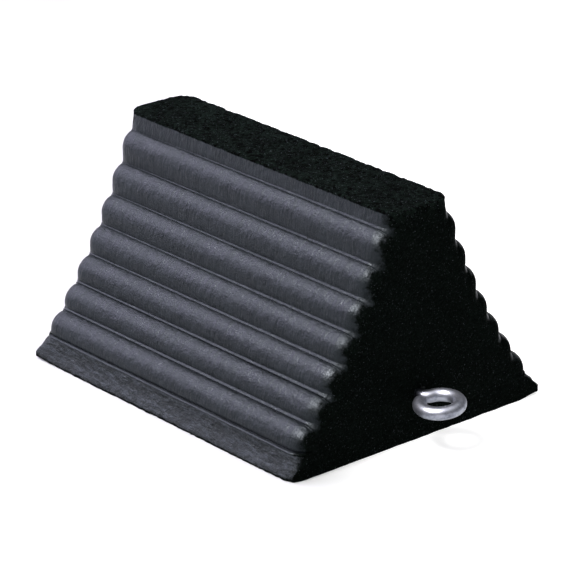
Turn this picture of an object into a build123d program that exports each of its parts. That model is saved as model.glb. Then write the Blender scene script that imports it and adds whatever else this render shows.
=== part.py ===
from build123d import *
import math
import os

# Pyramid wheel chock: one moulded rubber block with ribbed slopes, and a bent-bar
# eye bolt that passes through one end and is clamped inside a pocket in the base.
# Millimetres. Origin: centre of the block's base, on the ground face.
# +X runs along the ribs towards the eye, +Y across the chock, +Z up.

# ---- block ----
LENGTH = 254.0  # along the ribs, between the two flat ends
TOP_HALF_WIDTH = 24.3  # flat top
HEIGHT = 152.4
RIBS = 7  # on each slope
BAND_FOOT_HALF_WIDTH = 25.9  # foot of the smooth band above the first rib
BAND_FOOT_Z = 140.8
FIRST_RIB_HEIGHT = 20.6  # the ribs get shorter and step out further down the slope
RIB_HEIGHT_CHANGE = -0.95
FIRST_RIB_STEP = 8.3
RIB_STEP_CHANGE = 0.55
RIB_NOSE_RADIUS = 13.0
LIP_HALF_WIDTH = 103.0
LIP_EDGE_HEIGHT = 3.8
LIP_SHOULDER_RADIUS = 2.0
LIP_FLARE_SAG = 1.6  # how hollow the flare is
END_CORNER_RADIUS = 12.0  # where the slopes turn into the end faces
LIP_TIP_RADIUS = 1.5  # the lip's corners at its thin edge, seen from above
TOP_EDGE_RADIUS = 1.5

# ---- eye bolt, bent from one bar ----
BAR_DIAMETER = 8.4
EYE_INSIDE_DIAMETER = 16.4
EYE_HEIGHT = 29.0  # of the eye's centre above the ground
EYE_STANDOFF = 17.5  # from the block's end to the eye's centre
EYE_ROLL = 5.0  # degrees about the shank
NECK_BEND_RADIUS = 6.0
EYE_GAP_ANGLE = 27.0  # degrees between the neck's line and the cut end of the curl
CUT_END_ROUND = 1.0
GRIP_LENGTH = 60.0  # rubber between the end face and the pocket
THREAD_DIAMETER = 7.9  # 5/16 in
THREAD_LENGTH = 30.0
SHANK_PAST_NUT = 3.5
SHANK_END_CHAMFER = 0.8

# ---- washer and lock nut in the pocket ----
WASHER_DIAMETER = 31.8
WASHER_HOLE_DIAMETER = 8.7
WASHER_THICKNESS = 1.6
NUT_ACROSS_FLATS = 12.7
NUT_HEX_HEIGHT = 6.4
NUT_COLLAR_DIAMETER = 12.0
NUT_COLLAR_HEIGHT = 2.4
NUT_COLLAR_ROLL_IN = 0.5  # lip that holds the ring
NUT_CORNER_CHAMFER = 0.6
RING_OUTER_DIAMETER = 10.4
RING_THICKNESS = 1.9

# ---- pocket in the base ----
POCKET_LENGTH = 30.0
POCKET_WIDTH = 41.0
POCKET_HEIGHT = 48.0
POCKET_CORNER_RADIUS = 4.0

# ---- places worked out from the sizes above ----
END_X = LENGTH / 2
POCKET_END_X = END_X - GRIP_LENGTH
WASHER_X = POCKET_END_X - WASHER_THICKNESS
NUT_HEIGHT = NUT_HEX_HEIGHT + NUT_COLLAR_HEIGHT
NUT_X = WASHER_X - NUT_HEIGHT
SHANK_END_X = NUT_X - SHANK_PAST_NUT
EYE_X = END_X + EYE_STANDOFF
EYE_RADIUS = (EYE_INSIDE_DIAMETER + BAR_DIAMETER) / 2

# Foot of each course, from the band down to the last rib: (half width, height).
groove_points = [(BAND_FOOT_HALF_WIDTH, BAND_FOOT_Z)]
for rib in range(RIBS):
    half_width, height = groove_points[-1]
    half_width += FIRST_RIB_STEP + rib * RIB_STEP_CHANGE
    height -= FIRST_RIB_HEIGHT + rib * RIB_HEIGHT_CHANGE
    groove_points.append((half_width, height))
lip_top_half_width, lip_top_z = groove_points[-1]


def course_section(upper, lower):
    """Section of one rib course as (across, up): upright wall, then its rounded nose."""
    step = lower[0] - upper[0]
    nose_drop = math.sqrt(2 * RIB_NOSE_RADIUS * step - step**2)
    foot = Line((0, lower[1]), lower)
    wall = Line(foot @ 1, (lower[0], upper[1] - nose_drop))
    nose = RadiusArc(wall @ 1, upper, -RIB_NOSE_RADIUS)
    top = Line(nose @ 1, (0, upper[1]))
    Line(top @ 1, foot @ 0)


def band_section():
    """Section of the smooth band between the first rib and the flat top."""
    foot = Line((0, BAND_FOOT_Z), groove_points[0])
    side = Line(foot @ 1, (TOP_HALF_WIDTH, HEIGHT))
    top = Line(side @ 1, (0, HEIGHT))
    Line(top @ 1, foot @ 0)


def lip_section():
    """Section of the lip: low edge, hollow flare and a small round shoulder."""
    base = Line((0, 0), (LIP_HALF_WIDTH, 0))
    edge = Line(base @ 1, (LIP_HALF_WIDTH, LIP_EDGE_HEIGHT))
    shoulder_foot = (lip_top_half_width + LIP_SHOULDER_RADIUS, lip_top_z - LIP_SHOULDER_RADIUS)
    flare = SagittaArc(edge @ 1, shoulder_foot, LIP_FLARE_SAG)
    shoulder = RadiusArc(flare @ 1, (lip_top_half_width, lip_top_z), -LIP_SHOULDER_RADIUS)
    top = Line(shoulder @ 1, (0, lip_top_z))
    Line(top @ 1, base @ 0)


def end_corners(part):
    """Edges of both end faces that aren't level: they follow the ribs' outline."""
    return part.faces().filter_by(Axis.X).edges().filter_by(Axis.Y, reverse=True)


# Each rib course runs the whole length, and its outline is rounded at both ends.
courses = []
for upper, lower in zip(groove_points, groove_points[1:]):
    with BuildPart() as course:
        with BuildSketch(Plane.YZ.offset(-END_X)):
            with BuildLine():
                course_section(upper, lower)
            make_face()
            mirror(about=Plane.YZ)
        extrude(amount=LENGTH)
        fillet(end_corners(course), END_CORNER_RADIUS)
    courses.append(course.part)

with BuildPart() as band:
    with BuildSketch(Plane.YZ.offset(-END_X)):
        with BuildLine():
            band_section()
        make_face()
        mirror(about=Plane.YZ)
    extrude(amount=LENGTH)
    fillet(end_corners(band), END_CORNER_RADIUS)
    fillet(band.faces().sort_by(Axis.Z)[-1].edges(), TOP_EDGE_RADIUS)

# The lip's corners run out from the ribs' rounding to sharp tips at its thin edge.
with BuildPart() as lip:
    with BuildSketch(Plane.XY):
        RectangleRounded(LENGTH, 2 * LIP_HALF_WIDTH, LIP_TIP_RADIUS)
    extrude(amount=LIP_EDGE_HEIGHT)
    with BuildSketch(Plane.XY.offset(LIP_EDGE_HEIGHT)):
        RectangleRounded(LENGTH, 2 * LIP_HALF_WIDTH, LIP_TIP_RADIUS)
    with BuildSketch(Plane.XY.offset(lip_top_z)):
        RectangleRounded(LENGTH, 2 * (lip_top_half_width + LIP_SHOULDER_RADIUS), END_CORNER_RADIUS)
    loft(ruled=True)
    with BuildSketch(Plane.YZ.offset(-END_X)):
        with BuildLine():
            lip_section()
        make_face()
        mirror(about=Plane.YZ)
    extrude(amount=LENGTH, mode=Mode.INTERSECT)

# One moulding: the lip, the rib courses and the top band, with a pocket in the base
# and a hole from the end face into the pocket.
with BuildPart() as rubber_block:
    add([lip.part, *courses, band.part])
    with BuildSketch(Plane.XY):
        with Locations((POCKET_END_X - POCKET_LENGTH / 2, 0)):
            RectangleRounded(POCKET_LENGTH, POCKET_WIDTH, POCKET_CORNER_RADIUS)
    extrude(amount=POCKET_HEIGHT, mode=Mode.SUBTRACT)
    with BuildSketch(Plane.YZ.offset(END_X)):
        with Locations((0, EYE_HEIGHT)):
            Circle(BAR_DIAMETER / 2)
    extrude(amount=-GRIP_LENGTH, mode=Mode.SUBTRACT)
rubber_block.part.label = "rubber_block"

# The eye lies in a plane through the shank, rolled about it. The neck bends to one
# side and the bar curls back round until its cut end stands just off the neck.
roll = math.radians(EYE_ROLL)
eye_plane = Plane(
    origin=(EYE_X, 0, EYE_HEIGHT),
    x_dir=(1, 0, 0),
    z_dir=(0, -math.sin(roll), math.cos(roll)),
)
neck_reach = math.sqrt(EYE_RADIUS**2 + 2 * EYE_RADIUS * NECK_BEND_RADIUS)
neck_angle = math.degrees(math.atan2(NECK_BEND_RADIUS, neck_reach))
curl_angle = 360 - neck_angle - EYE_GAP_ANGLE

with BuildPart() as eye_bolt:
    with BuildLine(eye_plane) as bar:
        shank = Line((SHANK_END_X - EYE_X, 0), (-neck_reach, 0))
        neck = JernArc(shank @ 1, shank % 1, NECK_BEND_RADIUS, 90 - neck_angle)
        JernArc(neck @ 1, neck % 1, EYE_RADIUS, -curl_angle)
    with BuildSketch(Plane.YZ.offset(SHANK_END_X)):
        with Locations((0, EYE_HEIGHT)):
            Circle(BAR_DIAMETER / 2)
    sweep()
    cut_end = eye_bolt.faces().filter_by(GeomType.PLANE).sort_by(Axis.X)[-1]
    fillet(cut_end.edges(), CUT_END_ROUND)
    with BuildSketch(Plane.YZ.offset(SHANK_END_X)):
        with Locations((0, EYE_HEIGHT)):
            Circle(BAR_DIAMETER)
            Circle(THREAD_DIAMETER / 2, mode=Mode.SUBTRACT)
    extrude(amount=THREAD_LENGTH, mode=Mode.SUBTRACT)
    chamfer(eye_bolt.faces().sort_by(Axis.X)[0].edges(), SHANK_END_CHAMFER)
eye_bolt.part.label = "eye_bolt"

with BuildPart() as fender_washer:
    with BuildSketch(Plane.YZ.offset(WASHER_X)):
        with Locations((0, EYE_HEIGHT)):
            Circle(WASHER_DIAMETER / 2)
            Circle(WASHER_HOLE_DIAMETER / 2, mode=Mode.SUBTRACT)
    extrude(amount=WASHER_THICKNESS)
fender_washer.part.label = "fender_washer"

# Lock nut: hexagon against the washer, round collar at the shank's end, and a
# ring held in the collar by its rolled-in lip.
with BuildPart() as lock_nut:
    with BuildSketch(Plane.YZ.offset(WASHER_X)):
        with Locations((0, EYE_HEIGHT)):
            RegularPolygon(NUT_ACROSS_FLATS / 2, 6, major_radius=False)
    extrude(amount=-NUT_HEX_HEIGHT)
    chamfer(lock_nut.edges().filter_by(Axis.X), NUT_CORNER_CHAMFER)
    with BuildSketch(Plane.YZ.offset(NUT_X)):
        with Locations((0, EYE_HEIGHT)):
            Circle(NUT_COLLAR_DIAMETER / 2)
    extrude(amount=NUT_COLLAR_HEIGHT)
    with BuildSketch(Plane.YZ.offset(NUT_X)):
        with Locations((0, EYE_HEIGHT)):
            Circle(THREAD_DIAMETER / 2)
    extrude(amount=NUT_HEIGHT, mode=Mode.SUBTRACT)
    with BuildSketch(Plane.YZ.offset(NUT_X + NUT_COLLAR_ROLL_IN)):
        with Locations((0, EYE_HEIGHT)):
            Circle(RING_OUTER_DIAMETER / 2)
    extrude(amount=RING_THICKNESS, mode=Mode.SUBTRACT)
lock_nut.part.label = "lock_nut"

with BuildPart() as lock_nut_ring:
    with BuildSketch(Plane.YZ.offset(NUT_X + NUT_COLLAR_ROLL_IN)):
        with Locations((0, EYE_HEIGHT)):
            Circle(RING_OUTER_DIAMETER / 2)
            Circle(THREAD_DIAMETER / 2, mode=Mode.SUBTRACT)
    extrude(amount=RING_THICKNESS)
lock_nut_ring.part.label = "lock_nut_ring"

os.makedirs("parts", exist_ok=True)
for piece in (rubber_block, eye_bolt, fender_washer, lock_nut, lock_nut_ring):
    export_step(piece.part, f"parts/{piece.part.label}.step")
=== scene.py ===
import math

import bmesh
import bpy
import numpy as np
from bpy.props import FloatProperty, FloatVectorProperty, IntProperty, PointerProperty, StringProperty
from mathutils import Matrix, Vector, noise


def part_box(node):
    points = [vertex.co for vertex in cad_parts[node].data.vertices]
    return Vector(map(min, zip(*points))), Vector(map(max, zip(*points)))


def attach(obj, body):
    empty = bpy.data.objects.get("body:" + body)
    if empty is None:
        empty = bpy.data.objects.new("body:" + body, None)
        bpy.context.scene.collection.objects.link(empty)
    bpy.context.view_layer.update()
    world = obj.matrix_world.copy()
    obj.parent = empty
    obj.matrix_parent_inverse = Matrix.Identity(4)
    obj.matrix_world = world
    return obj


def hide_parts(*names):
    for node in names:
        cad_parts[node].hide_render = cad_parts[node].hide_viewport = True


bl_info = {
    "name": "Rubber wheel chock",
    "version": (1, 0, 0),
    "blender": (4, 5, 0),
    "location": "3D Viewport > Sidebar > Chock",
    "description": "Moulds a ribbed rubber wheel chock, bends its eye bolt and lights it on a plain floor",
    "category": "Add Mesh",
}

MM = 0.001
BODY = "root"

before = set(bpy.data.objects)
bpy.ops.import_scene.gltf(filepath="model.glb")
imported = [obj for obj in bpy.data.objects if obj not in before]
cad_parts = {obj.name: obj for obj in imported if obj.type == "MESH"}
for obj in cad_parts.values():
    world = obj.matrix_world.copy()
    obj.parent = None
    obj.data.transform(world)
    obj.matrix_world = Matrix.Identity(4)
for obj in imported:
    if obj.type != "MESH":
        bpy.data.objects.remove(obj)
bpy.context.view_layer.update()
BLOCK_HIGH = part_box("rubber_block")[1]
BOLT_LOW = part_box("eye_bolt")[0]
WASHER_LOW, WASHER_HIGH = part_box("fender_washer")

END_X = BLOCK_HIGH.x  # the end that carries the eye
EYE_Z = (WASHER_LOW.z + WASHER_HIGH.z) / 2


# ------------ settings


class CHOCK_PG_block(bpy.types.PropertyGroup):
    """Sizes of the moulded rubber block"""

    ribs: IntProperty(name="Ribs", description="Ribs on each slope", default=7, min=1)
    top_half_width: FloatProperty(
        name="Top half width", description="Half the flat top's width", default=24.3 * MM, unit="LENGTH"
    )
    band_foot_half_width: FloatProperty(
        name="Band half width", description="Half width at the band's foot", default=25.9 * MM, unit="LENGTH"
    )
    band_foot_height: FloatProperty(
        name="Band foot", description="Height of the band's foot", default=140.8 * MM, unit="LENGTH"
    )
    first_rib_height: FloatProperty(
        name="First rib height", description="Height of the topmost rib", default=20.6 * MM, unit="LENGTH"
    )
    rib_height_change: FloatProperty(
        name="Height change", description="Change from each rib to the one below", default=-0.95 * MM,
        unit="LENGTH",
    )
    first_rib_step: FloatProperty(
        name="First rib step", description="How far the topmost rib stands out", default=8.3 * MM,
        unit="LENGTH",
    )
    rib_step_change: FloatProperty(
        name="Step change", description="Change from each rib to the one below", default=0.55 * MM,
        unit="LENGTH",
    )
    nose_radius: FloatProperty(
        name="Nose radius", description="Radius of a rib's round nose", default=13.0 * MM, unit="LENGTH"
    )
    corner_radius: FloatProperty(
        name="Corner radius", description="Where the slopes turn into the ends", default=12.0 * MM,
        unit="LENGTH",
    )
    lip_tip_radius: FloatProperty(
        name="Lip tip radius", description="Corners of the lip's thin edge", default=1.5 * MM, unit="LENGTH"
    )
    rear_tip_curl: FloatProperty(
        name="Rear tip curl", description="Lift of the rear lip's tip at the eye's end", default=4.5 * MM,
        unit="LENGTH",
    )
    front_tip_curl: FloatProperty(
        name="Front tip curl", description="Lift of the front lip's tip at the eye's end", default=0.6 * MM,
        unit="LENGTH",
    )
    far_tip_curl: FloatProperty(
        name="Far tip curl", description="Lift of the lip's tips at the far end", default=2.6 * MM,
        unit="LENGTH",
    )
    tip_wear: FloatProperty(
        name="Tip wear", description="How far the front lip's tip is worn round at the eye's end",
        default=7.5 * MM, unit="LENGTH",
    )
    lip_edge_height: FloatProperty(
        name="Lip edge", description="Height of the lip's outer edge", default=3.8 * MM, unit="LENGTH"
    )
    lip_shoulder: FloatProperty(
        name="Lip shoulder", description="Radius of the bead along the lip's top", default=2.0 * MM,
        unit="LENGTH",
    )
    bead_height: FloatProperty(
        name="Seam bead", description="How far the bead under each rib's wall stands out", default=1.0 * MM,
        unit="LENGTH",
    )
    mesh_step: FloatProperty(
        name="Mesh step", description="Spacing of the mesh along the ribs", default=1.65 * MM, unit="LENGTH"
    )


class CHOCK_PG_bolt(bpy.types.PropertyGroup):
    """Sizes of the eye bolt"""

    bar_diameter: FloatProperty(
        name="Bar", description="Diameter of the bar", default=8.39 * MM, unit="LENGTH"
    )
    eye_inside: FloatProperty(
        name="Eye inside", description="Inside diameter of the eye", default=16.4 * MM, unit="LENGTH"
    )
    standoff: FloatProperty(
        name="Standoff", description="From the block's end to the eye's centre", default=17.5 * MM,
        unit="LENGTH",
    )
    roll: FloatProperty(
        name="Roll", description="The eye's turn about its shank", default=math.radians(5), subtype="ANGLE"
    )
    neck_radius: FloatProperty(
        name="Neck bend", description="Radius of the neck's bend", default=6.0 * MM, unit="LENGTH"
    )
    gap_angle: FloatProperty(
        name="Gap", description="From the neck's line to the curl's cut end", default=math.radians(27),
        subtype="ANGLE",
    )
    thread_pitch: FloatProperty(
        name="Thread pitch", description="One turn of the thread", default=1.411 * MM, unit="LENGTH"
    )
    thread_length: FloatProperty(
        name="Thread length", description="Length of the thread", default=30.0 * MM, unit="LENGTH"
    )
    thread_diameter: FloatProperty(
        name="Thread diameter", description="Outside diameter of the thread", default=7.9 * MM, unit="LENGTH"
    )


class CHOCK_PG_colours(bpy.types.PropertyGroup):
    """Colours, as sRGB hex values"""

    skin: StringProperty(name="Moulded skin", description="Smooth moulded rubber", default="#0b1011")
    skin_bloom: StringProperty(name="Skin bloom", description="Waxy bloom on the skin", default="#14191b")
    crumb: StringProperty(name="Open crumb", description="Dull open-grained rubber", default="#060a08")
    lip_thread: StringProperty(name="Lip thread", description="Pale threads in the lip", default="#393d43")
    fleck: StringProperty(name="Fleck", description="Pale flecks in the crumb", default="#565b60")
    zinc: StringProperty(name="Zinc", description="Bright zinc plate", default="#989ba6")
    zinc_dull: StringProperty(name="Dull zinc", description="Plate where it has dulled", default="#696d78")
    # Painted shade: a dark zinc for the eye's neck near the block, and for the washer and nut in the pocket.
    neck_shade_zinc: StringProperty(name="Neck shade zinc", description="Painted shade on the neck near the block", default="#2b2d33")
    nylon: StringProperty(name="Nylon", description="The lock nut's ring", default="#d9d6c8")
    floor: StringProperty(name="Floor", description="Plain pale floor", default="#d2d2d2")


class CHOCK_PG_stage(bpy.types.PropertyGroup):
    """Camera and lights"""

    azimuth: FloatProperty(
        name="Azimuth", description="Camera's bearing from the front", default=math.radians(49.15),
        subtype="ANGLE",
    )
    elevation: FloatProperty(
        name="Elevation", description="Camera's height angle", default=math.radians(22.2), subtype="ANGLE"
    )
    distance: FloatProperty(
        name="Distance", description="From the camera to what it looks at", default=2.1526, unit="LENGTH"
    )
    look_at: FloatVectorProperty(
        name="Look at", description="Point in the middle of the view", default=(0.0, 0.0034, 0.0594),
        subtype="TRANSLATION",
    )
    lens: FloatProperty(name="Lens", description="Focal length in millimetres", default=212.6)
    side_light: FloatProperty(name="Side light", description="Power of the large side light", default=31.0)
    front_light: FloatProperty(name="Front light", description="Power of the front light", default=24.0)
    glint: FloatProperty(name="Glint", description="Power of the small glint lamp", default=100.0)
    top_light: FloatProperty(name="Top light", description="Strength of the light overhead", default=1.2)
    sky: FloatProperty(name="Sky", description="Strength of the even light all round", default=0.2)


# ------------ materials

SHEEN = "#e6f2ff"  # the faintly blue gloss of moulded rubber
CRUMB_DEPTH = 8 * MM  # the rubber is coarser over this much below its top


def linear(hex_colour):
    """An sRGB hex colour as linear RGBA."""
    parts = [int(hex_colour[i : i + 2], 16) / 255 for i in (1, 3, 5)]
    return (*((p / 12.92 if p <= 0.04045 else ((p + 0.055) / 1.055) ** 2.4) for p in parts), 1.0)


def add_node(tree, kind, inputs=None, **settings):
    """Adds a node, sets its properties, and gives each input a value or a link."""
    made = tree.nodes.new(kind)
    for name, value in settings.items():
        setattr(made, name, value)
    for name, value in (inputs or {}).items():
        if isinstance(value, bpy.types.NodeSocket):
            tree.links.new(value, made.inputs[name])
        else:
            made.inputs[name].default_value = value
    return made


def new_material(name):
    """An empty node material, its tree, and the object's own coordinates."""
    material = bpy.data.materials.new(name)
    material.use_nodes = True
    tree = material.node_tree
    tree.nodes.clear()
    return material, tree, add_node(tree, "ShaderNodeTexCoord").outputs["Object"]


def per_metre(size_mm):
    """Noise scale that gives a pattern of this size, in millimetres."""
    return 1 / (size_mm * MM)


def crumb_shader(tree, place, colours):
    """Rubber crumb pressed without a polished mould face: sooty black, hardly any gloss, a bed
    of granules about 1.9 mm across, each a little lighter or darker, with a few pale flecks."""
    granule = add_node(tree, "ShaderNodeTexVoronoi", {"Vector": place, "Scale": per_metre(1.9)})
    # The finest grit is about 0.2 mm, drawn at 1 mm so that it shows.
    grit = add_node(tree, "ShaderNodeTexNoise", {
        "Vector": place, "Scale": per_metre(1.0), "Detail": 4.0, "Roughness": 0.7,
    })
    patch = add_node(tree, "ShaderNodeTexNoise", {"Vector": place, "Scale": per_metre(22), "Detail": 3.0})
    each = add_node(tree, "ShaderNodeSeparateColor", {"Color": granule.outputs["Color"]})
    tone = add_node(tree, "ShaderNodeMath", {
        0: each.outputs["Red"], 1: patch.outputs["Fac"],
    }, operation="MULTIPLY")
    # Towards the open top the hollows are darker, the granules paler, the flecks more common.
    level = add_node(tree, "ShaderNodeSeparateXYZ", {"Vector": place})
    darkest, palest, rarest = [
        add_node(tree, "ShaderNodeMapRange", {
            "Value": level.outputs["Z"], "From Min": BLOCK_HIGH.z - CRUMB_DEPTH, "From Max": BLOCK_HIGH.z,
            "To Min": below, "To Max": at_top,
        }).outputs["Result"]
        for below, at_top in ((0.75, 0.1), (1.3, 3.2), (0.74, 0.68))
    ]
    shade = add_node(tree, "ShaderNodeMapRange", {
        "Value": tone.outputs["Value"], "From Min": 0.05, "From Max": 0.5,
        "To Min": darkest, "To Max": palest,
    })
    ground = add_node(tree, "ShaderNodeMix", {
        "Factor": 1.0, "A": linear(colours.crumb), "B": shade.outputs["Result"],
    }, data_type="RGBA", blend_type="MULTIPLY")
    fleck = add_node(tree, "ShaderNodeMapRange", {
        "Value": grit.outputs["Fac"], "From Min": 0.62, "From Max": rarest,
    })
    colour = add_node(tree, "ShaderNodeMix", {
        "Factor": fleck.outputs["Result"], "A": ground.outputs["Result"], "B": linear(colours.fleck),
    }, data_type="RGBA")
    bed = add_node(tree, "ShaderNodeBump", {
        "Height": granule.outputs["Distance"], "Distance": 1.2 * MM,
    }, invert=True)
    relief = add_node(tree, "ShaderNodeBump", {
        "Height": grit.outputs["Fac"], "Strength": 0.8, "Distance": 0.6 * MM, "Normal": bed.outputs["Normal"],
    })
    return add_node(tree, "ShaderNodeBsdfPrincipled", {
        "Base Color": colour.outputs["Result"], "Roughness": 0.8, "IOR": 1.25, "Specular IOR Level": 0.02,
        "Normal": relief.outputs["Normal"],
    })


def worn_through(tree, place, surface, crumb):
    """Shows the crumb in place of the surface where the moulding's open_crumb value is high,
    with a ragged border. Along the foot this dark crumb is painted shade."""
    amount = add_node(tree, "ShaderNodeAttribute", attribute_name="open_crumb")
    coarse = add_node(tree, "ShaderNodeTexNoise", {
        "Vector": place, "Scale": per_metre(5), "Detail": 5.0, "Roughness": 0.75,
    })
    ragged = add_node(tree, "ShaderNodeMath", {
        0: amount.outputs["Fac"], 1: coarse.outputs["Fac"],
    }, operation="ADD")
    share = add_node(tree, "ShaderNodeMapRange", {
        "Value": ragged.outputs["Value"], "From Min": 0.84, "From Max": 1.12,
    })
    both = add_node(tree, "ShaderNodeMixShader", {
        0: share.outputs["Result"], 1: surface.outputs["BSDF"], 2: crumb.outputs["BSDF"],
    })
    add_node(tree, "ShaderNodeOutputMaterial", {"Surface": both.outputs["Shader"]})


def moulded_skin(colours):
    """Ground-tyre rubber against the polished mould: a thin waxy skin with a dull gloss,
    clouded by bloom, with faint drag marks across each rib."""
    material, tree, place = new_material("moulded_rubber_skin")
    cloud = add_node(tree, "ShaderNodeTexNoise", {
        "Vector": place, "Scale": per_metre(13), "Detail": 5.0, "Roughness": 0.6,
    })
    # Drag marks run across the ribs, so they are short along X and long down the slope.
    across = add_node(tree, "ShaderNodeMapping", {
        "Vector": place, "Scale": (per_metre(2.2), per_metre(12), per_metre(12)),
    })
    drag = add_node(tree, "ShaderNodeTexNoise", {
        "Vector": across.outputs["Vector"], "Scale": 1.0, "Detail": 4.0, "Roughness": 0.6,
    })
    # The real grain is about 0.3 mm, drawn at 1.1 mm so that it shows.
    grain = add_node(tree, "ShaderNodeTexNoise", {
        "Vector": place, "Scale": per_metre(1.1), "Detail": 3.0, "Roughness": 0.6,
    })
    dent = add_node(tree, "ShaderNodeTexNoise", {"Vector": place, "Scale": per_metre(6), "Detail": 3.0})
    bloom = add_node(tree, "ShaderNodeMapRange", {
        "Value": cloud.outputs["Fac"], "From Min": 0.35, "From Max": 0.65,
    })
    colour = add_node(tree, "ShaderNodeMix", {
        "Factor": bloom.outputs["Result"], "A": linear(colours.skin), "B": linear(colours.skin_bloom),
    }, data_type="RGBA")
    dullness = add_node(tree, "ShaderNodeMath", {
        0: cloud.outputs["Fac"], 1: drag.outputs["Fac"],
    }, operation="ADD")
    rough = add_node(tree, "ShaderNodeMapRange", {
        "Value": dullness.outputs["Value"], "From Min": 0.75, "From Max": 1.25,
        "To Min": 0.34, "To Max": 0.56,
    })
    dents = add_node(tree, "ShaderNodeBump", {
        "Height": dent.outputs["Fac"], "Strength": 0.8, "Distance": 1.1 * MM,
    })
    marks = add_node(tree, "ShaderNodeBump", {
        "Height": drag.outputs["Fac"], "Strength": 0.9, "Distance": 0.65 * MM,
        "Normal": dents.outputs["Normal"],
    })
    grains = add_node(tree, "ShaderNodeBump", {
        "Height": grain.outputs["Fac"], "Strength": 0.7, "Distance": 0.3 * MM,
        "Normal": marks.outputs["Normal"],
    })
    skin = add_node(tree, "ShaderNodeBsdfPrincipled", {
        "Base Color": colour.outputs["Result"], "Roughness": rough.outputs["Result"], "IOR": 1.52,
        "Specular IOR Level": 0.23, "Specular Tint": linear(SHEEN), "Normal": grains.outputs["Normal"],
    })
    worn_through(tree, place, skin, crumb_shader(tree, place, colours))
    return material


def flowed_lip(colours):
    """The same rubber where the crumb flowed thin at the mould's edge: coarse, fibrous
    along the lip, with ragged light and dark threads."""
    material, tree, place = new_material("moulded_rubber_lip")
    along = add_node(tree, "ShaderNodeMapping", {
        "Vector": place, "Scale": (per_metre(8), per_metre(1.7), per_metre(1.7)),
    })
    thread = add_node(tree, "ShaderNodeTexNoise", {
        "Vector": along.outputs["Vector"], "Scale": 1.0, "Detail": 5.0, "Roughness": 0.7,
    })
    grit = add_node(tree, "ShaderNodeTexNoise", {
        "Vector": place, "Scale": per_metre(2.2), "Detail": 4.0, "Roughness": 0.7,
    })
    tone = add_node(tree, "ShaderNodeMapRange", {
        "Value": thread.outputs["Fac"], "From Min": 0.47, "From Max": 0.62,
    })
    colour = add_node(tree, "ShaderNodeMix", {
        "Factor": tone.outputs["Result"], "A": linear(colours.crumb), "B": linear(colours.lip_thread),
    }, data_type="RGBA")
    rough = add_node(tree, "ShaderNodeMapRange", {
        "Value": grit.outputs["Fac"], "From Min": 0.38, "From Max": 0.62, "To Min": 0.3, "To Max": 0.75,
    })
    threads = add_node(tree, "ShaderNodeBump", {"Height": thread.outputs["Fac"], "Distance": 1.9 * MM})
    grits = add_node(tree, "ShaderNodeBump", {
        "Height": grit.outputs["Fac"], "Distance": 1.6 * MM, "Normal": threads.outputs["Normal"],
    })
    lip = add_node(tree, "ShaderNodeBsdfPrincipled", {
        "Base Color": colour.outputs["Result"], "Roughness": rough.outputs["Result"], "IOR": 1.52,
        "Specular IOR Level": 0.26, "Specular Tint": linear(SHEEN), "Normal": grits.outputs["Normal"],
    })
    worn_through(tree, place, lip, crumb_shader(tree, place, colours))
    return material


def open_crumb(colours):
    """The same rubber with no skin at all, on the top, the ends, the base and the pocket."""
    material, tree, place = new_material("pressed_rubber_crumb")
    crumb = crumb_shader(tree, place, colours)
    add_node(tree, "ShaderNodeOutputMaterial", {"Surface": crumb.outputs["BSDF"]})
    return material


def zinc_plate(colours):
    """Bright electro-zinc over drawn steel bar: soft blue-white metal, slightly clouded,
    with small dull patches and fine pits."""
    material, tree, place = new_material("zinc_plated_steel")
    cloud = add_node(tree, "ShaderNodeTexNoise", {
        "Vector": place, "Scale": per_metre(5), "Detail": 4.0, "Roughness": 0.6,
    })
    pit = add_node(tree, "ShaderNodeTexNoise", {
        "Vector": place, "Scale": per_metre(0.8), "Detail": 3.0, "Roughness": 0.6,
    })
    dull = add_node(tree, "ShaderNodeMapRange", {
        "Value": cloud.outputs["Fac"], "From Min": 0.42, "From Max": 0.68,
    })
    colour = add_node(tree, "ShaderNodeMix", {
        "Factor": dull.outputs["Result"], "A": linear(colours.zinc), "B": linear(colours.zinc_dull),
    }, data_type="RGBA")
    rough = add_node(tree, "ShaderNodeMapRange", {
        "Value": cloud.outputs["Fac"], "From Min": 0.3, "From Max": 0.7, "To Min": 0.36, "To Max": 0.52,
    })
    bump = add_node(tree, "ShaderNodeBump", {
        "Height": pit.outputs["Fac"], "Strength": 0.25, "Distance": 0.08 * MM,
    })
    # Painted shade: the zinc turns dark within a few millimetres of the block's end, standing in for the
    # shade and dark reflection of the black rubber on the eye's neck. The washer and the nut in the pocket
    # lie wholly in this dark zinc.
    off_face = add_node(tree, "ShaderNodeSeparateXYZ", {"Vector": place})
    out_of_neck_shade = add_node(tree, "ShaderNodeMapRange", {
        "Value": off_face.outputs["X"], "From Min": END_X + 2.5 * MM, "From Max": END_X + 8 * MM,
    })
    painted_neck_shade = add_node(tree, "ShaderNodeMix", {
        "Factor": out_of_neck_shade.outputs["Result"], "A": linear(colours.neck_shade_zinc), "B": colour.outputs["Result"],
    }, data_type="RGBA")
    shader = add_node(tree, "ShaderNodeBsdfPrincipled", {
        "Base Color": painted_neck_shade.outputs["Result"], "Metallic": 1.0, "Roughness": rough.outputs["Result"],
        "Normal": bump.outputs["Normal"],
    })
    add_node(tree, "ShaderNodeOutputMaterial", {"Surface": shader.outputs["BSDF"]})
    return material


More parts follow.
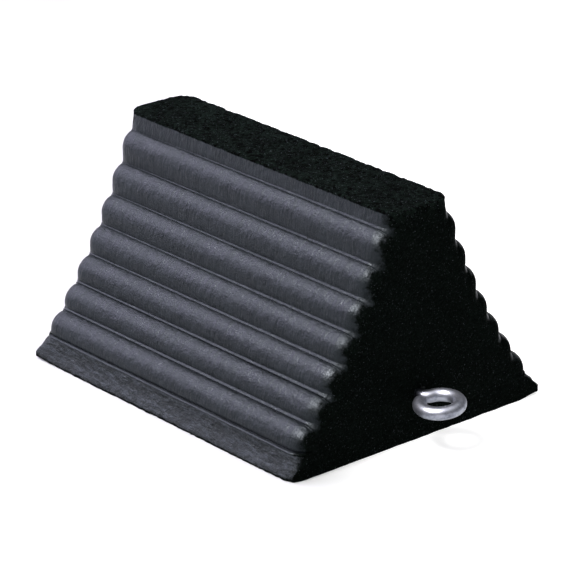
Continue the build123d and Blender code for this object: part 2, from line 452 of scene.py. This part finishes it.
def moulded_nylon(colours):
    """Natural nylon as moulded: waxy off-white, slightly see-through at its skin."""
    material, tree, place = new_material("moulded_nylon")
    cloud = add_node(tree, "ShaderNodeTexNoise", {"Vector": place, "Scale": per_metre(2.5), "Detail": 3.0})
    rough = add_node(tree, "ShaderNodeMapRange", {
        "Value": cloud.outputs["Fac"], "To Min": 0.38, "To Max": 0.55,
    })
    shader = add_node(tree, "ShaderNodeBsdfPrincipled", {
        "Base Color": linear(colours.nylon), "Roughness": rough.outputs["Result"], "IOR": 1.53,
        "Subsurface Weight": 0.15, "Subsurface Radius": (1.2 * MM, 1.0 * MM, 0.8 * MM),
    })
    add_node(tree, "ShaderNodeOutputMaterial", {"Surface": shader.outputs["BSDF"]})
    return material


def pale_floor(colours):
    """Matt white studio card that gives off light beyond the block: painted light that fills the block's
    shadow there.
    """
    material, tree, place = new_material("studio_card")
    # Painted light: the card's emission grows the further it lies beyond the block, away from the side light,
    # where the block's shadow falls.
    beyond = add_node(tree, "ShaderNodeVectorMath", {0: place, 1: (0.5, 0.87, 0.0)}, operation="DOT_PRODUCT")
    shadow_fill_emission = add_node(tree, "ShaderNodeMapRange", {
        "Value": beyond.outputs["Value"], "From Min": -0.04, "From Max": 0.07, "To Max": 0.7,
    }, interpolation_type="SMOOTHSTEP")
    shader = add_node(tree, "ShaderNodeBsdfPrincipled", {
        "Base Color": linear(colours.floor), "Roughness": 0.9, "Specular IOR Level": 0.1,
        "Emission Color": linear("#ffffff"), "Emission Strength": shadow_fill_emission.outputs["Result"],
    })
    add_node(tree, "ShaderNodeOutputMaterial", {"Surface": shader.outputs["BSDF"]})
    return material


# ------------ mesh helpers


def finished_piece(name, points, faces, materials, node, face_materials=None):
    """Makes a smooth-shaded object from arrays, riding on the chock's one body in place of
    this node."""
    mesh = bpy.data.meshes.new(name)
    mesh.from_pydata([tuple(p) for p in points], [], faces)
    for material in materials:
        mesh.materials.append(material)
    if face_materials is not None:
        mesh.polygons.foreach_set("material_index", face_materials)
    mesh.polygons.foreach_set("use_smooth", [True] * len(mesh.polygons))
    mesh.update()
    piece = bpy.data.objects.new(name, mesh)
    bpy.context.scene.collection.objects.link(piece)
    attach(piece, BODY)
    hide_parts(node)
    return piece


def ring_faces(first, second):
    """Quads between two closed rings of vertex numbers."""
    count = len(first)
    return [(first[i], first[(i + 1) % count], second[(i + 1) % count], second[i]) for i in range(count)]


def roughness_at(points, size, seed):
    """Perlin noise of this feature size at each point, about -1 to 1."""
    offset = Vector((seed * 7.31, seed * 3.77, seed * 5.13))
    return np.array([noise.noise(Vector(p) / size + offset) for p in points])


# ------------ rubber block

SKIN, LIP, CRUMB = 0, 1, 2  # a station's zone, and its faces' material
LEVEL = (1.0, 0.0)  # a corner that rounds inwards without falling
LIP_WAY = (0.86, 0.5)  # out of the lip's slope, as across and up
SEAM_TOP = 2.6 * MM  # a wall is plain above this much of its foot
SEAM_ANGLE = 0.12  # radians at each nose's top that make way for the seam
OPEN_SEAM = 5  # the groove whose crack gapes, where the band's foot is groove 0
BASE_INSETS = (20.0, 16.0, 12.0, 8.0, 5.0, 3.0, 1.6)  # mm in from the base's outline
CORNER_STEPS = 10
END_PLACES = 40  # points across each flat end


def groove_points(size):
    """(half width, height) of each rib's upper edge, from the band down to the lip."""
    points = [(size.band_foot_half_width, size.band_foot_height)]
    for rib in range(size.ribs):
        across, up = points[-1]
        across += size.first_rib_step + rib * size.rib_step_change
        up -= size.first_rib_height + rib * size.rib_height_change
        points.append((across, up))
    return points


def evenly(start, stop, step):
    """Numbers from start to stop, about one step apart, without the first."""
    count = max(1, round(abs(stop - start) / step))
    return [start + (stop - start) * (i + 1) / count for i in range(count)]


class Outline:
    """Stations up one side of the block. Each has its place on the cross-section, the way
    in which the corner rounds inwards from it, that corner's radius, and a small relief
    that fades round the corner. far is the relief's share left at the end away from the eye,
    and skin_to says how far round the corner its skin lasts."""

    def __init__(self):
        self.rows = []

    def add(self, across, up, inward, radius, inset=0.0, relief=(0.0, 0.0), far=0.7, zone=SKIN,
            skin_to=0.5):
        self.rows.append((across, up, *inward, radius, inset, *relief, far, zone, skin_to))

    def arrays(self):
        return np.array(self.rows).T


def block_outline(size):
    """Stations from the middle of the base, out under the lip, up the slope and in over
    the top."""
    grooves = groove_points(size)
    lip_top, lip_up = grooves[-1]
    lip_out = BLOCK_HIGH.y
    height = BLOCK_HIGH.z
    step = 1.5 * MM
    lip_edge_round = 0.7 * MM
    lip_hollow = 1.6 * MM
    outline = Outline()

    # Underside, as shrinking copies of the base's outline.
    for inset in BASE_INSETS:
        outline.add(lip_out, 0.0, LEVEL, size.lip_tip_radius, inset=inset * MM, zone=CRUMB)
    # Bottom edge, outer edge and hollow flare of the lip.
    for angle in (-70, -35, 0):
        turn = math.radians(angle)
        across = lip_out - lip_edge_round + lip_edge_round * math.cos(turn)
        up = lip_edge_round + lip_edge_round * math.sin(turn)
        outline.add(across, up, LEVEL, size.lip_tip_radius, zone=LIP)
    for up in evenly(lip_edge_round, size.lip_edge_height - lip_edge_round, 1.0 * MM):
        outline.add(lip_out, up, LEVEL, size.lip_tip_radius, zone=LIP)
    slope_start = lip_out - 0.3 * MM
    foot = (lip_top + size.lip_shoulder, lip_up - size.lip_shoulder)
    for share in evenly(0.0, 1.0, 0.1):
        across = slope_start + (foot[0] - slope_start) * share
        up = size.lip_edge_height + (foot[1] - size.lip_edge_height) * share
        hollow = 4 * lip_hollow * share * (1 - share)
        radius = size.lip_tip_radius + (size.corner_radius - size.lip_tip_radius) * share
        outline.add(across - LIP_WAY[0] * hollow, up - LIP_WAY[1] * hollow, LEVEL, radius, zone=LIP)
    # Round bead along the lip's top, and the crack behind it.
    for angle in (15, 32, 50, 70, 90):
        turn = math.radians(angle)
        across = lip_top + size.lip_shoulder * math.cos(turn)
        up = foot[1] + size.lip_shoulder * math.sin(turn)
        zone = LIP if angle < 30 else SKIN
        outline.add(across, up, LEVEL, size.corner_radius, zone=zone, skin_to=0.3)
    for out, rise in ((-0.3, -0.4), (-1.1, -0.5), (-1.1, 0.5), (-0.15, 1.1)):
        outline.add(lip_top, lip_up, LEVEL, size.corner_radius, relief=(out * MM, rise * MM), far=0.15)

    # Each rib from the lowest up: its wall, its round nose and the seam above.
    for course in reversed(range(size.ribs)):
        upper, lower = grooves[course], grooves[course + 1]
        reach = lower[0] - upper[0]
        drop = math.sqrt(2 * size.nose_radius * reach - reach**2)
        nose_foot = upper[1] - drop
        for up in evenly(lower[1] + SEAM_TOP, nose_foot, step):
            outline.add(lower[0], up, LEVEL, size.corner_radius)
        centre = lower[0] - size.nose_radius
        last = math.asin(drop / size.nose_radius)
        for angle in evenly(0.0, last - SEAM_ANGLE, step / size.nose_radius):
            way = (math.cos(angle), math.sin(angle))
            outline.add(centre + size.nose_radius * way[0], nose_foot + size.nose_radius * way[1], way,
                        size.corner_radius, skin_to=0.42)
        add_seam(outline, upper, last, course, size)
    # Smooth band, then the top edge and the top, as shrinking copies of its outline.
    for up in evenly(size.band_foot_height + SEAM_TOP, height - 2.2 * MM, step):
        share = (up - size.band_foot_height) / (height - size.band_foot_height)
        across = size.band_foot_half_width + (size.top_half_width - size.band_foot_half_width) * share
        outline.add(across, up, LEVEL, size.corner_radius, skin_to=0.25)
    # Millimetres below the top, millimetres inwards, and the zone.
    top_edge = [(1.4, -0.3, SKIN), (0.7, -0.4, SKIN), (0.2, 0.1, CRUMB)]
    top = [(0.0, inset, CRUMB) for inset in evenly(0.7, 11.0, 1.3)]
    for below, inset, zone in top_edge + top:
        outline.add(size.top_half_width, height - below * MM, LEVEL, size.corner_radius,
                    inset=inset * MM, zone=zone)
    return outline


def add_seam(outline, groove, nose_angle, course, size):
    """The groove above a rib: a hairline crack, then a fine sloping bead along the foot of
    the wall above, both stronger lower down. Round the corner its stations fan out into a
    scoop. Each row of the shape holds out and rise in millimetres, and how far round the
    corner the skin lasts."""
    depth = course / (size.ribs - 1)
    crack = 0.12 + (0.75 if course == OPEN_SEAM else 0.2 * depth)
    bead = size.bead_height / MM * (0.6 + 0.4 * depth)
    floor = bead * (0.85 - 0.75 * crack)
    shape = (
        (bead + 0.1, -0.4 * bead, 0.42), (floor, -0.35 - 0.5 * crack, 0.4), (floor, -0.08, 0.42),
        (0.96 * bead, 0.05, 0.5), (bead, 0.3, 0.58), (0.74 * bead, 0.6, 0.6), (0.4 * bead, 0.92, 0.58),
        (0.05 * bead, 1.25, 0.52), (-0.2, 1.55, 0.48), (-0.1, 2.1, 0.48),
    )
    for i, (out, rise, skin_to) in enumerate(shape):
        angle = nose_angle * (1 - (i + 1) / len(shape))
        outline.add(*groove, (math.cos(angle), math.sin(angle)), size.corner_radius,
                    relief=(out * MM, rise * MM), far=0.05 + 0.65 * depth, skin_to=skin_to)


def block_rings(size):
    """Every station's ring of points, as an array (station, place, xyz), each place's share
    of the way round its corner, each station's zone and skin_to, and how many places run
    along each slope."""
    columns = block_outline(size).arrays()
    across, up, in_across, in_up, radius, inset, relief_out, relief_up, far, zone, skin_to = columns
    along = round((2 * END_X - 2 * size.corner_radius) / size.mesh_step)
    turns = np.radians(np.linspace(0, 90, CORNER_STEPS + 1))

    def corner_points(angle, end):
        """x, half width and height of every station at this angle round the corner."""
        corner = np.maximum(radius - inset, 0.3 * MM)
        x = END_X - inset - corner + corner * np.sin(angle)
        sunk = corner * (1 - np.cos(angle))
        # The seams are proudest at the eye's end, and fade as they turn the corner.
        relief = (1.2 if end > 0 else far) * math.sqrt(max(0.0, math.cos(angle)))
        out = across - inset - sunk * in_across + relief_out * relief
        rise = up - sunk * in_up + relief_up * relief
        return x, out, rise

    def line(start, stop, count):
        share = np.linspace(0, 1, count)[None, :, None]
        return start[:, None, :] * (1 - share) + stop[:, None, :] * share

    def at(angle, end, side):
        x, out, rise = corner_points(angle, end)
        return np.stack([end * x, side * out, rise], axis=1)

    arc = list(turns[1:-1])
    quarter = turns[-1]
    parts, bend = [], []
    for end, side in ((1, -1), (-1, 1)):
        parts.append(line(at(0.0, -end, side), at(0.0, end, side), along))
        bend.append(np.zeros(along))
        parts.append(np.stack([at(a, end, side) for a in arc], axis=1))
        bend.append(np.array(arc) / quarter)
        parts.append(line(at(quarter, end, side), at(quarter, end, -side), END_PLACES))
        bend.append(np.ones(END_PLACES))
        parts.append(np.stack([at(a, end, -side) for a in reversed(arc)], axis=1))
        bend.append(np.array(arc[::-1]) / quarter)
    rings = np.concatenate(parts, axis=1)
    return rings, np.concatenate(bend), zone.astype(int), skin_to, along


def cap_faces(ring, first_inner, along):
    """Faces that close a ring with a grid whose points are numbered from first_inner."""
    arc, ends = CORNER_STEPS - 1, END_PLACES
    grid = [[first_inner + i * ends + j for j in range(ends)] for i in range(along)]
    front, right = ring[:along], ring[along + arc : along + arc + ends]
    rear_start = along + 2 * arc + ends
    rear = ring[rear_start : rear_start + along][::-1]
    left = ring[rear_start + along + arc : rear_start + along + arc + ends][::-1]
    faces = []
    for i in range(along - 1):
        faces.append((front[i], front[i + 1], grid[i + 1][0], grid[i][0]))
        faces.append((grid[i][-1], grid[i + 1][-1], rear[i + 1], rear[i]))
        for j in range(ends - 1):
            faces.append((grid[i][j], grid[i + 1][j], grid[i + 1][j + 1], grid[i][j + 1]))
    for j in range(ends - 1):
        faces.append((right[j], right[j + 1], grid[-1][j + 1], grid[-1][j]))
        faces.append((left[j + 1], left[j], grid[0][j], grid[0][j + 1]))
    corners = (
        (ring[along - 1 : along + arc + 1], grid[-1][0]),
        (ring[along + arc + ends - 1 : along + 2 * arc + ends + 1], grid[-1][-1]),
        (ring[rear_start + along - 1 : rear_start + along + arc + 1], grid[0][-1]),
        (ring[rear_start + along + arc + ends - 1 :] + ring[:1], grid[0][0]),
    )
    for edge, centre in corners:
        faces.extend((edge[i], edge[i + 1], centre) for i in range(len(edge) - 1))
    return faces


def cap_points(ring_points, along):
    """Grid points inside a ring: the front line's x by the end line's y."""
    end_start = along + CORNER_STEPS - 1
    x = ring_points[:along, 0]
    y = ring_points[end_start : end_start + END_PLACES, 1]
    z = ring_points[0, 2]
    return np.array([(a, b, z) for a in x for b in y])


def weather(points, bend, zone, size):
    """Moves the points as a real moulding differs from its drawing: wavy ribs, a ragged
    top edge, a pitted top, a rough lip whose tips curl up, and grainy ends. The weights of
    the patterns are in millimetres."""
    half_length, half_width, height = END_X, BLOCK_HIGH.y, BLOCK_HIGH.z
    x, y, z = points.T
    side = np.sign(y)
    stretched = np.stack([x * 0.35, y, z], axis=1)
    wave = roughness_at(stretched, 14 * MM, 1)
    ripple = roughness_at(points, 4.5 * MM, 2)
    crumb = roughness_at(points, 2.2 * MM, 3)
    coarse = roughness_at(points, 7 * MM, 4)
    moved = points.copy()
    # Ribs and band: shallow waves, growing rougher round the corners.
    skin = zone == SKIN
    corner = np.clip((bend - 0.3) / 0.5, 0, 1)
    push = np.where(skin, 0.12 * wave + 0.05 * ripple, 0.0) * MM
    push += np.where(skin, corner * (0.22 * crumb + 0.2 * coarse), 0.0) * MM
    # Lip: torn crumb and a wandering edge.
    lip = zone == LIP
    push += np.where(lip, 0.65 * crumb + 0.4 * ripple + 0.3 * wave - 0.4, 0.0) * MM
    on_side = np.abs(x) < half_length - 1 * MM
    moved[:, 1] += np.where(on_side, side * push, 0.0)
    moved[:, 0] += np.where(bend > 0.2, np.sign(x) * push * bend, 0.0)
    # Top: pitted, and its edge a ragged fringe of granules, longer on the front.
    near_top = np.clip((z - (height - 2.2 * MM)) / (1.6 * MM), 0, 1)
    pits = np.minimum(0, 0.45 * coarse + 0.5 * crumb + 0.3 * ripple - 0.05)
    moved[:, 2] += near_top * pits * 1.2 * MM
    fringe_width = 3 * MM
    edge = np.clip((np.abs(y) - (size.top_half_width - fringe_width)) / fringe_width, 0, 1)
    fringe = np.where(y < 0, 1.3, 0.35)
    moved[:, 1] += side * near_top * edge * fringe * (0.9 * crumb + 0.6 * coarse) * MM
    # Lip: each tip curls up by its own amount, and the hollow flare fills out towards it.
    curled_length, curled_width = 30 * MM, 16 * MM
    at_end = np.clip(1 - (half_length - np.abs(x)) / curled_length, 0, 1)
    near_tip = at_end * np.clip(1 - (half_width - np.abs(y)) / curled_width, 0, 1)
    curl = np.where(x > 0, np.where(y > 0, size.rear_tip_curl, size.front_tip_curl), size.far_tip_curl)
    thickening = 0.45 + 0.55 * np.clip(z / (4 * MM), 0, 1)
    moved[:, 2] += curl * near_tip**1.5 * thickening * np.clip(1 - z / (14 * MM), 0, 1)
    flare = np.sin(math.pi * np.clip((z - size.lip_edge_height) / (11 * MM), 0, 1))
    fill = np.where(np.abs(y) > half_width - 12 * MM, flare * at_end * (0.4 * MM + 0.5 * curl), 0.0)
    moved[:, 1] += side * LIP_WAY[0] * fill
    moved[:, 2] += LIP_WAY[1] * fill
    # The front tip at the eye's end is worn round.
    from_corner = (half_length - x) + (half_width + y)
    wear = 0.33 * np.clip(size.tip_wear - from_corner, 0, None) * np.clip((12 * MM - z) / (6 * MM), 0, 1)
    moved[:, 0] -= wear
    moved[:, 1] += wear
    # Ends: slightly dished and grainy.
    flat_end = bend > 0.98
    moved[:, 0] -= np.where(flat_end, np.sign(x) * (0.25 + 0.2 * coarse + 0.15 * crumb), 0.0) * MM
    limits = np.array([half_length, half_width, height])
    return np.clip(moved, -limits, limits)


def cut_pocket_and_hole(block):
    """Cuts the nut's pocket in the base, and the shank's hole from the end into it."""
    pocket_length, pocket_half_width, pocket_height = 30 * MM, 20.5 * MM, 48 * MM
    pocket_corner = 4 * MM
    shank_radius, gap = 4.2 * MM, 0.35 * MM
    below_base, overrun = -5 * MM, 10 * MM  # how far the cutters overrun
    pocket_end = WASHER_HIGH.x
    pocket_low = Vector((pocket_end - pocket_length, -pocket_half_width, below_base))
    pocket_high = Vector((pocket_end, pocket_half_width, pocket_height))
    work = bmesh.new()
    middle = (pocket_low + pocket_high) / 2
    spread = pocket_high - pocket_low
    in_place = Matrix.Translation(middle) @ Matrix.Diagonal((*spread, 1))
    bmesh.ops.create_cube(work, size=1.0, matrix=in_place)
    upright = [e for e in work.edges if abs(e.verts[0].co.z - e.verts[1].co.z) > spread.z / 2]
    bmesh.ops.bevel(work, geom=upright, offset=pocket_corner, segments=6, affect="EDGES", profile=0.5)
    hole_length = END_X - pocket_end + overrun
    hole_middle = Matrix.Translation((pocket_end - 2 * MM + hole_length / 2, 0, EYE_Z))
    bmesh.ops.create_cone(
        work, cap_ends=True, segments=48, radius1=shank_radius + gap, radius2=shank_radius + gap,
        depth=hole_length, matrix=hole_middle @ Matrix.Rotation(math.pi / 2, 4, "Y"),
    )
    for face in work.faces:
        face.material_index = CRUMB
        face.smooth = True
    mesh = bpy.data.meshes.new("pocket_cutter")
    work.to_mesh(mesh)
    work.free()
    for material in block.data.materials:
        mesh.materials.append(material)
    cutter = bpy.data.objects.new("pocket_cutter", mesh)
    bpy.context.scene.collection.objects.link(cutter)
    cut = block.modifiers.new("pocket", "BOOLEAN")
    cut.operation = "DIFFERENCE"
    cut.solver = "MANIFOLD"
    cut.object = cutter
    bpy.context.view_layer.objects.active = block
    bpy.ops.object.modifier_apply(modifier=cut.name)
    bpy.data.objects.remove(cutter)


class CHOCK_OT_block(bpy.types.Operator):
    """Mould the ribbed rubber block"""

    bl_idname = "chock.mould_block"
    bl_label = "Mould Block"

    def execute(self, context):
        size = context.scene.chock_block
        colours = context.scene.chock_colours
        rings, bend, zone, skin_to, along = block_rings(size)
        stations, count = rings.shape[:2]
        base_grid = cap_points(rings[0], along)
        top_grid = cap_points(rings[-1], along)
        capped = len(base_grid) + len(top_grid)
        points = np.concatenate([rings.reshape(-1, 3), base_grid, top_grid])
        numbers = [list(range(k * count, (k + 1) * count)) for k in range(stations)]
        faces, kinds = [], []
        for k in range(stations - 1):
            faces.extend(ring_faces(numbers[k], numbers[k + 1]))
            kinds.extend([CRUMB if zone[k] == CRUMB else zone[k + 1]] * count)
        base_faces = [f[::-1] for f in cap_faces(numbers[0], stations * count, along)]
        top_faces = cap_faces(numbers[-1], stations * count + len(base_grid), along)
        faces += base_faces + top_faces
        kinds += [CRUMB] * (len(base_faces) + len(top_faces))
        all_bend = np.concatenate([np.tile(bend, stations), np.zeros(capped)])
        all_zone = np.concatenate([np.repeat(zone, count), np.full(capped, CRUMB)])
        # Painted shade: a dark crumb band along the bottom edge, within a few millimetres of the floor.
        painted_foot_shade = np.clip((2.6 * MM - points[:, 2]) / (2.0 * MM), 0, 1)
        points = weather(points, all_bend, all_zone, size)
        # The skin gives way to open crumb part of the way round each end and at the top; by the floor the
        # dark crumb is painted shade along the bottom edge.
        border = np.concatenate([np.repeat(skin_to, count), np.full(capped, 0.6)])
        crumb_and_foot_shade = np.clip((all_bend - border) / 0.8 + 0.5, 0, 1)
        crumb_and_foot_shade = np.maximum(crumb_and_foot_shade, np.clip((points[:, 2] - (BLOCK_HIGH.z - 2.9 * MM)) / (2.2 * MM), 0, 1))
        crumb_and_foot_shade = np.maximum(crumb_and_foot_shade, painted_foot_shade)
        materials = [moulded_skin(colours), flowed_lip(colours), open_crumb(colours)]
        block = finished_piece("rubber_block_moulding", points, faces, materials,
                               "rubber_block", kinds)
        amount = block.data.attributes.new("open_crumb", "FLOAT", "POINT")
        amount.data.foreach_set("value", crumb_and_foot_shade)
        cut_pocket_and_hole(block)
        return {"FINISHED"}


# ------------ eye bolt

BAR_SIDES = 40  # points in each ring of the bar


def bar_line(size):
    """Centre line of the bar, as (x, y, heading) from the thread's end to the curl's cut end,
    at most a millimetre apart, and where the eye's centre lies along X."""
    eye_x = END_X + size.standoff
    radius = (size.eye_inside + size.bar_diameter) / 2
    bend = size.neck_radius
    reach = math.sqrt(radius**2 + 2 * radius * bend)
    lean = math.atan2(bend, reach)
    shank_start = BOLT_LOW.x - eye_x
    thread_step, plain_step = size.thread_pitch / 10, 1.0 * MM
    neck_turn, curl_turn = 0.12, 0.06  # radians from each ring to the next
    thread_end = shank_start + size.thread_length
    threaded = [shank_start, *evenly(shank_start, thread_end, thread_step)]
    plain = evenly(thread_end, -reach, plain_step)
    spots = [(x, 0.0, 0.0) for x in threaded + plain]
    for turn in evenly(0.0, math.pi / 2 - lean, neck_turn):
        spots.append((-reach + bend * math.sin(turn), bend * (1 - math.cos(turn)), turn))
    curl = 2 * math.pi - lean - size.gap_angle
    for turn in evenly(0.0, curl, curl_turn):
        angle = math.pi - lean - turn
        spots.append((radius * math.cos(angle), radius * math.sin(angle), angle - math.pi / 2))
    return spots, eye_x


def thread_depth(distance, angle, size):
    """How far the surface lies below the bar's own radius at this place on the thread."""
    if distance > size.thread_length:
        return 0.0
    body = (size.bar_diameter - size.thread_diameter) / 2
    depth = 0.54 * size.thread_pitch
    runout_length, chamfer_length, chamfer = 2.5 * MM, 1.2 * MM, 0.8 * MM
    runout = min(1.0, max(0.0, (size.thread_length - distance) / runout_length))
    turn = (distance / size.thread_pitch + angle / (2 * math.pi)) % 1.0
    # A tooth with straight flanks, cut flat at its crest and its root.
    tooth = min(1.0, max(0.0, 1.35 * abs(2 * turn - 1) - 0.12))
    lead_in = max(0.0, 1 - distance / chamfer_length) * chamfer
    return body * runout + depth * (1 - tooth) * runout + lead_in


def bar_ring(spot, distance, radius, size, in_place, threaded=True):
    """One ring of the bar, square to its centre line."""
    x, y, heading = spot
    sideways = Vector((-math.sin(heading), math.cos(heading), 0))
    ring = []
    for i in range(BAR_SIDES):
        angle = 2 * math.pi * i / BAR_SIDES
        depth = thread_depth(distance, angle, size) if threaded else 0.0
        spoke = sideways * math.cos(angle) + Vector((0, 0, math.sin(angle)))
        ring.append(in_place @ (Vector((x, y, 0)) + spoke * (radius - depth)))
    return ring


class CHOCK_OT_bolt(bpy.types.Operator):
    """Bend the eye bolt from one bar and cut its thread"""

    bl_idname = "chock.bend_eye_bolt"
    bl_label = "Bend Eye Bolt"

    def execute(self, context):
        size = context.scene.chock_bolt
        spots, eye_x = bar_line(size)
        in_place = Matrix.Translation((eye_x, 0, EYE_Z)) @ Matrix.Rotation(size.roll, 4, "X")
        bar_radius = size.bar_diameter / 2
        # The thread's end face, as rings that grow from its middle.
        rings = [bar_ring(spots[0], 0.0, bar_radius * share, size, in_place, threaded=False)
                 for share in (0.15, 0.45, 0.65)]
        distance = 0.0
        for last, spot in zip([spots[0], *spots], spots):
            distance += math.hypot(spot[0] - last[0], spot[1] - last[1])
            rings.append(bar_ring(spot, distance, bar_radius, size, in_place))
        # The cut end is slightly rounded over.
        x, y, heading = spots[-1]
        for forward, share in ((0.35, 0.95), (0.6, 0.84), (0.7, 0.68), (0.72, 0.4), (0.66, 0.15)):
            spot = (x + forward * MM * math.cos(heading), y + forward * MM * math.sin(heading), heading)
            rings.append(bar_ring(spot, distance, bar_radius * share, size, in_place))
        points = [p for ring in rings for p in ring]
        numbers = [list(range(k * BAR_SIDES, (k + 1) * BAR_SIDES)) for k in range(len(rings))]
        faces = [f for a, b in zip(numbers, numbers[1:]) for f in ring_faces(a, b)]
        faces += [tuple(numbers[0][::-1]), tuple(numbers[-1])]
        plated = zinc_plate(context.scene.chock_colours)
        finished_piece("eye_bolt_bar", points, faces, [plated], "eye_bolt")
        return {"FINISHED"}


# ------------ fasteners in the pocket


class CHOCK_OT_fasteners(bpy.types.Operator):
    """Finish the washer, the lock nut and its nylon ring"""

    bl_idname = "chock.finish_fasteners"
    bl_label = "Finish Fasteners"

    def execute(self, context):
        colours = context.scene.chock_colours
        plated, nylon = zinc_plate(colours), moulded_nylon(colours)
        for name, material in (("fender_washer", plated), ("lock_nut", plated), ("lock_nut_ring", nylon)):
            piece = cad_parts[name]
            if not piece.material_slots:
                raise RuntimeError(f"{name} has no material slot")
            for slot in piece.material_slots:
                slot.material = material
        return {"FINISHED"}


# ------------ stage


BLOCK_MIDDLE = Vector((0, 0, 0.07))


def area_light(name, place, spread, power, colour):
    """A soft rectangular light that faces the block, with its spread as width and height."""
    lamp = bpy.data.lights.new(name, "AREA")
    lamp.shape = "RECTANGLE"
    lamp.size, lamp.size_y = spread
    lamp.energy = power
    lamp.color = linear(colour)[:3]
    light = bpy.data.objects.new(name, lamp)
    light.location = place
    light.rotation_euler = (BLOCK_MIDDLE - light.location).to_track_quat("-Z", "Y").to_euler()
    bpy.context.scene.collection.objects.link(light)
    return light


class CHOCK_OT_stage(bpy.types.Operator):
    """Lay the floor, and set the lights and the camera"""

    bl_idname = "chock.set_stage"
    bl_label = "Set Stage"

    def execute(self, context):
        scene, stage = context.scene, context.scene.chock_stage
        mesh = bpy.data.meshes.new("floor")
        reach = 30.0
        corners = [(-reach, -reach, 0), (reach, -reach, 0), (reach, reach, 0), (-reach, reach, 0)]
        mesh.from_pydata(corners, [], [(0, 1, 2, 3)])
        mesh.materials.append(pale_floor(scene.chock_colours))
        floor = bpy.data.objects.new("floor", mesh)
        scene.collection.objects.link(floor)

        area_light("side_light", (-1.2, -0.5, 0.82), (1.5, 1.3), stage.side_light, "#ebe4ff")
        area_light("front_light", (0.1, -0.95, 1.6), (0.4, 0.4), stage.front_light, "#ffffff")
        # A small lamp that only shows as a glint on the domes and the eye.
        glint = area_light("glint_light", (0.06, -0.95, 1.55), (0.22, 0.22), stage.glint, "#fff8f4")
        glint.visible_diffuse = False
        overhead = bpy.data.lights.new("top_light", "SUN")
        overhead.energy = stage.top_light
        overhead.angle = math.radians(80)
        top_light = bpy.data.objects.new("top_light", overhead)
        scene.collection.objects.link(top_light)

        world = bpy.data.worlds.new("studio")
        world.use_nodes = True
        world.node_tree.nodes.clear()
        sky = add_node(world.node_tree, "ShaderNodeBackground", {
            "Color": linear("#ffffff"), "Strength": stage.sky,
        })
        add_node(world.node_tree, "ShaderNodeOutputWorld", {"Surface": sky.outputs["Background"]})
        scene.world = world
        scene.view_settings.view_transform = "Standard"

        lens = bpy.data.cameras.new("camera")
        lens.lens = stage.lens
        lens.clip_end = 100
        camera = bpy.data.objects.new("camera", lens)
        back = Vector((
            math.sin(stage.azimuth) * math.cos(stage.elevation),
            -math.cos(stage.azimuth) * math.cos(stage.elevation),
            math.sin(stage.elevation),
        ))
        camera.location = Vector(stage.look_at) + back * stage.distance
        camera.rotation_euler = (-back).to_track_quat("-Z", "Y").to_euler()
        scene.collection.objects.link(camera)
        scene.camera = camera
        return {"FINISHED"}


# ------------ panel and registration


class CHOCK_PT_panel(bpy.types.Panel):
    """Settings and steps of the wheel chock"""

    bl_label = "Wheel Chock"
    bl_idname = "CHOCK_PT_panel"
    bl_space_type = "VIEW_3D"
    bl_region_type = "UI"
    bl_category = "Chock"

    def draw(self, context):
        for group, _, operator in STEPS:
            box = self.layout.box()
            settings = getattr(context.scene, group)
            for name in settings.bl_rna.properties.keys():
                if name not in ("rna_type", "name"):
                    box.prop(settings, name)
            box.operator(operator.bl_idname)


# Each step's settings on the scene, their class, and the step's operator.
STEPS = (
    ("chock_block", CHOCK_PG_block, CHOCK_OT_block),
    ("chock_bolt", CHOCK_PG_bolt, CHOCK_OT_bolt),
    ("chock_colours", CHOCK_PG_colours, CHOCK_OT_fasteners),
    ("chock_stage", CHOCK_PG_stage, CHOCK_OT_stage),
)
CLASSES = (*(cls for _, *pair in STEPS for cls in pair), CHOCK_PT_panel)


def register():
    for cls in CLASSES:
        bpy.utils.register_class(cls)
    for name, settings, _ in STEPS:
        setattr(bpy.types.Scene, name, PointerProperty(type=settings))


def unregister():
    for name, *_ in STEPS:
        delattr(bpy.types.Scene, name)
    for cls in reversed(CLASSES):
        bpy.utils.unregister_class(cls)


def main():
    register()
    bpy.ops.chock.mould_block()
    bpy.ops.chock.bend_eye_bolt()
    bpy.ops.chock.finish_fasteners()
    bpy.ops.chock.set_stage()
    bpy.context.view_layer.update()


if __name__ == "__main__":
    main()
